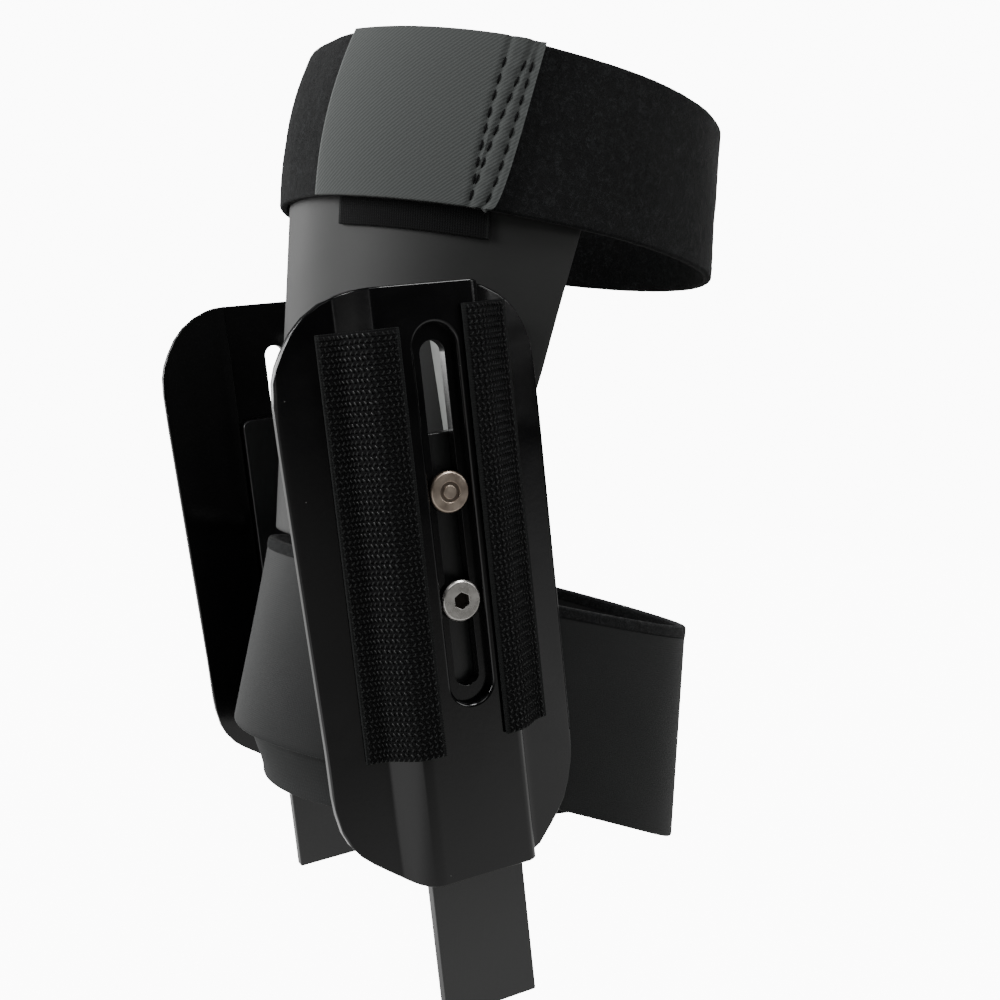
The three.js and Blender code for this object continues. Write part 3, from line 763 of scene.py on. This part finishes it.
def panelPlace(u, v, h):
    share = v / cuff["height"]
    rear, front = lineDegrees(panel["rear"], share), lineDegrees(panel["front"], share)
    degrees = rear + (front - rear) * u / panel["wide"]
    pull = 0
    for row in panel["rows"]:  # thread draws the cloth down along each row
        away = (degrees - lineDegrees(row, share)) * panel["wide"] / (front - rear)
        pull = max(pull, panel["pull"] * math.exp(-(away / panel["pullWide"]) ** 2))
    size = panel["puckerSize"]
    loose = min(max((u - panel["puckerFrom"]) / panel["puckerEase"], 0), 1)  # only beside the rows
    pucker = panel["pucker"] * noise.noise(Vector((u / size, v / size, 0))) * loose
    return cuffSurface(degrees, share, panel["over"] + panel["lift"] - pull + pucker)


panelPiece = layFlat("cuffTwillPanel", panel["wide"], cuff["height"], *panel["grid"])
shapeTo(panelPiece, panelPlace)
thicken(panelPiece, panel["wall"], panel["edgeRound"], segments=2)
wear(panelPiece, twillFinish)


def makeStitches():
    bpy.ops.object.select_all(action="DESELECT")
    bpy.ops.mesh.primitive_uv_sphere_add(segments=thread["rings"], ring_count=thread["rings"], radius=1)
    stitch = bpy.context.object
    stitch.name = "panelStitches"
    bpy.ops.object.mode_set(mode="EDIT")
    bpy.ops.transform.resize(value=(thread["wide"] / 2, thread["stitch"] / 2, thread["halfTall"]))
    bpy.ops.object.mode_set(mode="OBJECT")
    each = len(stitch.data.vertices)
    half, step = thread["stitch"] / 2, thread["stitch"] + thread["gap"]
    count = int((cuff["height"] - thread["spare"]) / step)
    repeat(stitch, count, (0, step, 0))
    repeat(stitch, len(panel["rows"]), (step, 0, 0))
    for vertex in stitch.data.vertices:
        row, number = divmod(vertex.index // each, count)
        across = vertex.co.x - row * step
        share = (vertex.co.y + half + thread["start"]) / cuff["height"]
        away = panel["wide"] / (lineDegrees(panel["front"], share) - lineDegrees(panel["rear"], share))
        degrees = lineDegrees(panel["rows"][row], share) + across / away
        sunk = thread["dive"] * abs(vertex.co.y - number * step) / half  # the ends dive into the cloth
        rise = panel["over"] + vertex.co.z - thread["sink"] - sunk
        vertex.co = cuffSurface(degrees, share, rise) * mm
    smoothBy(stitch, thread["smooth"])
    wear(stitch, threadFinish)
    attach(stitch, "brace")
    return stitch


stitches = makeStitches()
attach(panelPiece, "brace")
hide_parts("cuff_twill_panel")
print("twill panel made")

# hook patch under the cuff


def patchPlace(u, v, h):
    degrees = patch["rear"] + (patch["front"] - patch["rear"]) * u / patch["wide"]
    over = patch["over"] + patch["wall"]
    height = cuffEdge(degrees) - patch["below"] + v
    return ovalPoint(degrees, shell["across"] + over, shell["deep"] + over, height)


patchTall = patch["below"] + patch["above"]
patchPiece = layFlat("shellHookPatch", patch["wide"], patchTall, *patch["grid"])
shapeTo(patchPiece, patchPlace)
thicken(patchPiece, patch["wall"], patch["edgeRound"], segments=2)
wear(patchPiece, tapeFinish)
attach(patchPiece, "brace")
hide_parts("shell_hook_patch")
print("hook patch made")

# lower band, its hem and its liner; an edge is its middle height, tilt and sway

band = {"upper": (-24.5, 11.6, -0.5), "lower": (-78.9, 18.5, -3.1), "across": 52.4, "deepRear": 57.0,
        "deepFront": 62.0, "flareUpper": 4.0, "flareLower": 12.0, "wall": 2.6, "around": 364.0, "tall": 54.4,
        "ripple": 0.3, "rippleSize": 18, "rippleTall": 0.5, "rippleDeep": 60, "edgeRound": 0.9, "hem": 3.4,
        "hemWall": 3.0, "hemOver": 0.2, "hemRise": 0.4, "grid": (180, 26), "hemGrid": (180, 4)}
liner = {"rows": [((-78.3, -0.7, 0), 60.0), ((-65.0, 1.5, 0), 64.3), ((-50.0, 5.0, 0), 62.0)], "across": 49.4,
         "front": 58.8, "wall": 2.0, "around": 346.0, "tall": 28.9, "edgeRound": 0.7, "grid": (180, 16)}


def edgeHeight(edge, degrees):
    middle, rise, sway = edge
    angle = math.radians(degrees)
    return middle + rise * math.cos(angle) + sway * math.cos(2 * angle)


def bandSurface(degrees, share, over):
    lower, upper = edgeHeight(band["lower"], degrees), edgeHeight(band["upper"], degrees)
    deep = (band["deepRear"] if math.cos(math.radians(degrees)) > 0 else band["deepFront"]) + over
    point = ovalPoint(degrees, band["across"] + over, deep, lower + (upper - lower) * share)
    rear = max(-point.y / deep, 0)
    point.y -= (band["flareLower"] + (band["flareUpper"] - band["flareLower"]) * share) * rear
    return point


def bandPlace(u, v, h):
    degrees = 360 * u / band["around"]
    flat = bandSurface(degrees, v / band["tall"], 0)
    rear = max(-flat.y / band["rippleDeep"], 0)  # the ripple dies out where the plates lie close
    spot = Vector((flat.x, flat.y, flat.z * band["rippleTall"])) / band["rippleSize"]
    return bandSurface(degrees, v / band["tall"], band["ripple"] * rear * noise.noise(spot))


def hemPlace(u, v, h):
    share = 1 - (band["hem"] - v - band["hemRise"]) / band["tall"]
    return bandSurface(360 * u / band["around"], share, band["hemOver"])


def linerPlace(u, v, h):
    degrees = 360 * u / liner["around"]
    share = v / liner["tall"] * (len(liner["rows"]) - 1)
    index = min(int(share), len(liner["rows"]) - 2)
    (edgeA, rearA), (edgeB, rearB) = liner["rows"][index:index + 2]
    part = share - index
    height = edgeHeight(edgeA, degrees) * (1 - part) + edgeHeight(edgeB, degrees) * part
    bulge = part * part * (3 - 2 * part)  # an eased step keeps the fold soft
    deep = rearA + (rearB - rearA) * bulge if math.cos(math.radians(degrees)) > 0 else liner["front"]
    return ovalPoint(degrees, liner["across"], deep, height)


def makeLoop(name, values, grid, place, wall, tall, finish):
    piece = layFlat(name, values["around"], tall, *grid)
    shapeTo(piece, place)
    mergePoints(piece)
    thicken(piece, wall, values["edgeRound"])
    wear(piece, finish)
    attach(piece, "brace")
    return piece


bandPiece = makeLoop("lowerBandKnit", band, band["grid"], bandPlace, band["wall"], band["tall"],
                     bandFinish)
hemPiece = makeLoop("bandTopHem", band, band["hemGrid"], hemPlace, band["hemWall"], band["hem"],
                    feltFinish)
linerPiece = makeLoop("bandLiner", liner, liner["grid"], linerPlace, liner["wall"], liner["tall"],
                      linerFinish)
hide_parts("lower_band")
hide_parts("band_liner")
print("band, hem and liner made")

# studio

# paperSheen, shade and rear set the painted reflection that the floor glows in glossy rays
studio = {"floor": -0.135, "wide": 14.0, "paper": "7a7a78", "paperGlow": 11.0, "paperSheen": 0.55,
          "backdrop": 11.0, "dim": 0.05, "shade": {"across": (-0.7, 0.7, 0), "dark": -0.24, "lit": -0.08},
          "rear": {"across": (-0.5, -0.866, 0), "shift": 0.5,
                   "stops": [(0.5, "000000"), (0.55, "f3f3f3"), (0.65, "f3f3f3"), (0.8, "262626")]}}
lamps = {"softKey": {"place": (-1.0, -0.8, 0.3), "aim": (0, 0, 0), "size": 0.9, "power": 15.5},
         "softRear": {"place": (0.08, -1.35, 0.4), "aim": (0, 0, 0), "size": 0.6, "power": 22.0},
         "softFill": {"place": (0.85, -0.4, 0.9), "aim": (0, 0, 0), "size": 0.6, "power": 2.0},
         "softTop": {"place": (0.42, 0.22, 1.0), "aim": (0, 0, 0), "size": 0.35, "power": 7.0},
         "softFront": {"place": (-0.8, 1.0, 0.6), "aim": (0, 0, 0), "size": 0.8, "power": 9.0},
         "tableCard": {"place": (0.5, 0.45, 0.3), "aim": (0.22, 0.12, -0.135), "size": 0.3, "power": 1.2}}


def makeFloor():
    bpy.ops.object.select_all(action="DESELECT")
    bpy.ops.mesh.primitive_plane_add(size=studio["wide"], location=(0, 0, studio["floor"]))
    floor = bpy.context.object
    floor.name = "studioFloor"
    # matt paper that glows: evenly white to the camera; in glossy rays a painted reflection, a weak grey glow
    # shaded towards the camera's side, with a streak behind the brace
    material, tree = startMaterial("paperSweepMatt")
    shade, rear = studio["shade"], studio["rear"]
    path = addNode(tree, "ShaderNodeLightPath")
    place = addNode(tree, "ShaderNodeTexCoord")
    across = addNode(tree, "ShaderNodeVectorMath", {"operation": "DOT_PRODUCT"}, {1: shade["across"]},
                     {0: (place, "Object")})
    sheen = addNode(tree, "ShaderNodeMapRange", None,
                    {"From Min": shade["dark"], "From Max": shade["lit"], "To Max": studio["paperSheen"]},
                    {"Value": (across, "Value")})
    behind = addNode(tree, "ShaderNodeVectorMath", {"operation": "DOT_PRODUCT"}, {1: rear["across"]},
                     {0: (place, "Object")})
    middle = addNode(tree, "ShaderNodeMath", {"operation": "ADD"}, {1: rear["shift"]}, {0: (behind, "Value")})
    streak = addNode(tree, "ShaderNodeValToRGB", links={"Fac": (middle, "Value")}, stops=rear["stops"])
    most = addNode(tree, "ShaderNodeMath", {"operation": "MAXIMUM"}, None,
                   {0: (sheen, "Result"), 1: (streak, "Color")})
    # painted reflection: the floor glows this pattern only in glossy rays
    mirrored = addNode(tree, "ShaderNodeMath", {"operation": "MULTIPLY"}, None,
                       {0: (most, "Value"), 1: (path, "Is Glossy Ray")})
    glow = addNode(tree, "ShaderNodeMath", {"operation": "MULTIPLY_ADD"}, {1: studio["paperGlow"]},
                   {0: (path, "Is Camera Ray"), 2: (mirrored, "Value")})
    shader = addNode(tree, "ShaderNodeBsdfPrincipled", None,
                     {"Base Color": linearColour(studio["paper"]), "Roughness": 0.95,
                      "Emission Color": (1, 1, 1, 1)},
                     {"Emission Strength": (glow, "Value")})
    addNode(tree, "ShaderNodeOutputMaterial", links={"Surface": (shader, "BSDF")})
    wear(floor, material)


def makeWorld():
    world = bpy.data.worlds.new("studio")
    bpy.context.scene.world = world
    world.use_nodes = True
    tree = world.node_tree
    tree.nodes.clear()
    path = addNode(tree, "ShaderNodeLightPath")
    dim, white = (addNode(tree, "ShaderNodeBackground",
                          values={"Color": (1, 1, 1, 1), "Strength": studio[key]})
                  for key in ("dim", "backdrop"))
    both = addNode(tree, "ShaderNodeMixShader",
                   links={0: (path, "Is Camera Ray"), 1: (dim, "Background"), 2: (white, "Background")})
    addNode(tree, "ShaderNodeOutputWorld", links={"Surface": (both, "Shader")})


def addLamp(name, values):
    light = bpy.data.lights.new(name, "AREA")
    light.size = values["size"]
    light.energy = values["power"]
    lamp = bpy.data.objects.new(name, light)
    lamp.location = values["place"]
    lamp.rotation_euler = (Vector(values["aim"]) - lamp.location).to_track_quat("-Z", "Y").to_euler()
    bpy.context.collection.objects.link(lamp)


view = {"place": (0.3403, -0.1597, 0.0279), "yaw": 64.2, "pitch": -4.4, "roll": 3.2, "lens": 47.35,
        "sensor": 36, "near": 0.01}


def makeCamera():
    yaw, pitch, roll = (math.radians(view[k]) for k in ("yaw", "pitch", "roll"))
    ahead = Vector((-math.sin(yaw) * math.cos(pitch), math.cos(yaw) * math.cos(pitch), math.sin(pitch)))
    right = ahead.cross(Vector((0, 0, 1))).normalized()
    up = right.cross(ahead)
    turned = math.cos(roll) * right + math.sin(roll) * up
    tall = math.cos(roll) * up - math.sin(roll) * right
    data = bpy.data.cameras.new("photoCamera")
    data.sensor_width = view["sensor"]
    data.lens = view["lens"]
    data.clip_start = view["near"]
    camera = bpy.data.objects.new("photoCamera", data)
    bpy.context.collection.objects.link(camera)
    camera.matrix_world = Matrix((turned, tall, -ahead)).transposed().to_4x4()
    camera.location = view["place"]
    bpy.context.scene.camera = camera


makeFloor()
makeWorld()
for name, values in lamps.items():
    addLamp(name, values)
makeCamera()
print("studio and camera made")
